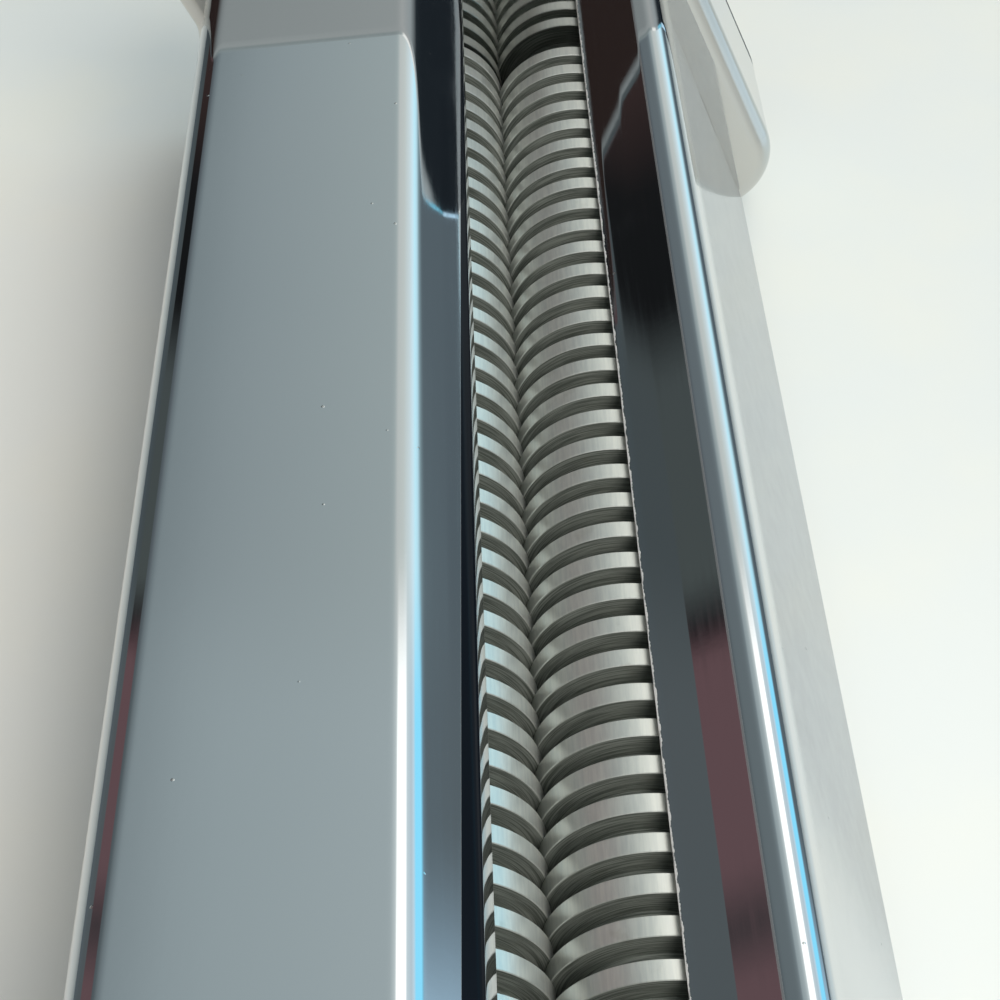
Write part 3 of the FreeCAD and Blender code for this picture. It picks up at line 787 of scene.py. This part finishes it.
def make_backdrop():
    """A plain pale wall all round, far off, that neither lights the object nor shows in it."""
    radius, height, sides = 7.0, 6.0, 48
    n = Finish("pale_backdrop")
    n.put(n.shader.inputs["Emission Color"], srgb(224, 226, 227))
    n.shader.inputs["Emission Strength"].default_value = 1.0
    n.finish(srgb(20, 20, 20), 1.0, n.bump(n.noise(n.place(), 2), 0.001 * MM))
    vertices = []
    for z in (-0.01, height):
        for side in range(sides):
            angle = 2 * math.pi * side / sides
            vertices.append((radius * math.cos(angle), radius * math.sin(angle), z))
    faces = [(i, (i + 1) % sides, (i + 1) % sides + sides, i + sides) for i in range(sides)]
    wall = stage_piece("backdrop", vertices, faces, n.material)
    wall.visible_glossy = False
    wall.visible_diffuse = False
    wall.visible_shadow = False


# The room's colours are given as they look in the chrome, which reflects this share of the light.
world_strength = 2.0
chrome_share = 0.63
chrome = 1 / chrome_share
room_edge = (215, 216, 216)


def make_world():
    """A soft studio room, drawn round the X axis so that its reflections run along the covers.

    A direction is given by its turn, the angle from straight up, negative to the rear and
    positive to the front, and by its x.  Steep is the room across the rollers, shallow the room
    along them towards the gear end, behind the room at the crank end."""
    world = bpy.data.worlds.new("studio")
    bpy.context.scene.world = world
    world.use_nodes = True
    n = Nodes(world.node_tree)

    def ramp(factor, low, high, stops):
        """Colours along the factor, each stop as (place, colour seen in the chrome, light)."""
        share = n.add("MapRange", interpolation_type="LINEAR")
        n.put(share.inputs[0], factor)
        n.put(share.inputs[1], low)
        n.put(share.inputs[2], high)
        node = n.add("ValToRGB")
        n.put(node.inputs[0], share.outputs["Result"])
        elements = node.color_ramp.elements
        while len(elements) < len(stops):
            elements.new(0.5)
        for element, (place, colour, light) in zip(elements, stops):
            element.position = (place - low) / (high - low)
            element.color = [min(channel, 1.0) for channel in srgb(*colour, light / world_strength)]
        return node.outputs["Color"]

    def window(value, low, high, soft):
        """1 where the value is between low and high, with soft edges."""
        return n.product(n.span(value, low - soft, low + soft, 0, 1),
                         n.span(value, high + soft, high - soft, 0, 1))

    x, y, z = n.axes_of(n.add("TexCoord").outputs["Generated"])
    turn = n.product(n.math("ARCTAN2", n.product(y, -1.0), z), 180 / math.pi)

    steep = ramp(turn, -180, 180, [
        (-180, room_edge, 1), (-98, room_edge, 1),
        (-91, (82, 90, 94), chrome), (-74, (78, 84, 86), chrome), (-58, (80, 86, 88), chrome),
        (-40, (72, 79, 82), chrome), (-30, (82, 90, 93), chrome), (-19, (114, 124, 127), chrome),
        (-15, (142, 153, 155), chrome), (-4, (158, 168, 169), chrome), (5, (188, 196, 196), chrome),
        (9, (254, 254, 250), 2), (27, (255, 255, 253), 2), (31, (196, 208, 212), chrome),
        (41, (180, 196, 204), chrome), (47, (188, 212, 224), chrome), (52, (138, 220, 250), chrome),
        (65.5, (138, 222, 252), chrome), (70, (106, 132, 146), chrome), (73.5, (86, 96, 101), chrome),
        (91, (84, 94, 99), chrome), (98, room_edge, 1), (180, room_edge, 1),
    ])
    shallow = ramp(turn, -180, 180, [
        (-180, room_edge, 1), (-98, room_edge, 1),
        (-91, (70, 78, 82), chrome), (-74, (66, 73, 75), chrome), (-58, (66, 72, 73), chrome),
        (-42, (70, 77, 80), chrome), (-30, (84, 91, 95), chrome), (-19, (110, 120, 123), chrome),
        (-15, (134, 144, 146), chrome), (-4, (156, 166, 165), chrome), (4, (184, 188, 185), chrome),
        (20, (190, 196, 192), chrome), (36, (200, 213, 215), chrome), (46, (205, 228, 236), chrome),
        (54, (192, 234, 245), chrome), (61, (182, 218, 230), chrome), (68, (130, 152, 158), chrome),
        (75, (84, 95, 101), chrome), (91, (74, 84, 90), chrome), (98, room_edge, 1),
        (180, room_edge, 1),
    ])
    rear_wall = ramp(x, 0, 1, [
        (0.0, (94, 73, 76), chrome), (0.49, (94, 73, 76), chrome), (0.515, (58, 52, 54), chrome),
        (0.54, (94, 73, 76), chrome), (0.628, (94, 72, 75), chrome), (0.642, (30, 28, 30), chrome),
        (0.66, (68, 74, 73), chrome), (0.735, (66, 72, 72), chrome), (0.76, (20, 21, 22), chrome),
        (0.80, (22, 23, 24), chrome), (0.83, (50, 39, 38), chrome), (1.0, (48, 38, 37), chrome),
    ])
    room = n.mixed(n.span(x, 0.60, 0.68, 0, 1), steep, shallow)
    room = n.mixed(window(turn, -66, -36, 1.2), room, rear_wall)
    dark_corner = n.product(n.span(x, 0.82, 0.88, 0, 1), window(turn, -96, -66, 2))
    room = n.mixed(dark_corner, room, srgb(22, 23, 24, chrome / world_strength))
    behind = ramp(turn, -180, 180, [
        (-180, room_edge, 1), (-98, room_edge, 1), (-91, (62, 50, 48), 1),
        (-50, (66, 54, 52), 1), (-30, (180, 188, 190), 1), (-10, (214, 222, 223), 1),
        (10, (240, 244, 244), 1), (40, (215, 226, 230), 1), (62, (60, 70, 78), 1),
        (91, (30, 36, 44), 1), (98, room_edge, 1), (180, room_edge, 1),
    ])
    room = n.mixed(n.span(x, -0.05, -0.35, 0, 1), room, behind)
    blue_window = n.product(window(x, -0.45, 0.45, 0.12), window(turn, 69, 82, 2.5))
    room = n.mixed(blue_window, room, srgb(190, 226, 250, 1.1))
    background = world.node_tree.nodes["Background"]
    n.put(background.inputs["Color"], room)
    background.inputs["Strength"].default_value = world_strength


def make_soft_light():
    """A soft lamp on the camera's side for the floor and the plastics, kept out of the reflections."""
    data = bpy.data.lights.new("soft_lamp", "AREA")
    data.shape = "DISK"
    data.size = 0.5
    data.energy = 4.0
    data.color = (1.0, 0.955, 0.89)
    light = bpy.data.objects.new("soft_lamp", data)
    light.location = (-0.45, -0.3, 0.6)
    light.rotation_euler = (-light.location).to_track_quat("-Z", "Y").to_euler()
    light.visible_glossy = False
    bpy.context.scene.collection.objects.link(light)


def make_camera():
    """The photograph's view: from above the crank end, down along the rollers."""
    pitch, yaw, roll = math.radians(45.94), math.radians(1.56), math.radians(1.10)
    level = Matrix(((0, -1, 0), (0, 0, 1), (-1, 0, 0)))
    axes = (
        Matrix.Rotation(roll, 3, "Z")
        @ Matrix.Rotation(yaw, 3, "Y")
        @ Matrix.Rotation(pitch, 3, "X")
        @ level
    )
    camera = bpy.data.objects.new("camera", bpy.data.cameras.new("camera"))
    camera.data.lens = 67.75
    camera.data.sensor_width = 36
    camera.data.clip_start = 0.01
    camera.rotation_mode = "QUATERNION"
    camera.rotation_quaternion = axes.transposed().to_quaternion()
    camera.location = Vector((0, nip_y, nip_z)) + Vector((-136.62, 7.73, 142.57)) * MM
    bpy.context.scene.collection.objects.link(camera)
    bpy.context.scene.camera = camera


make_floor()
make_backdrop()
make_world()
make_soft_light()
make_camera()
bpy.context.scene.view_settings.view_transform = "Standard"
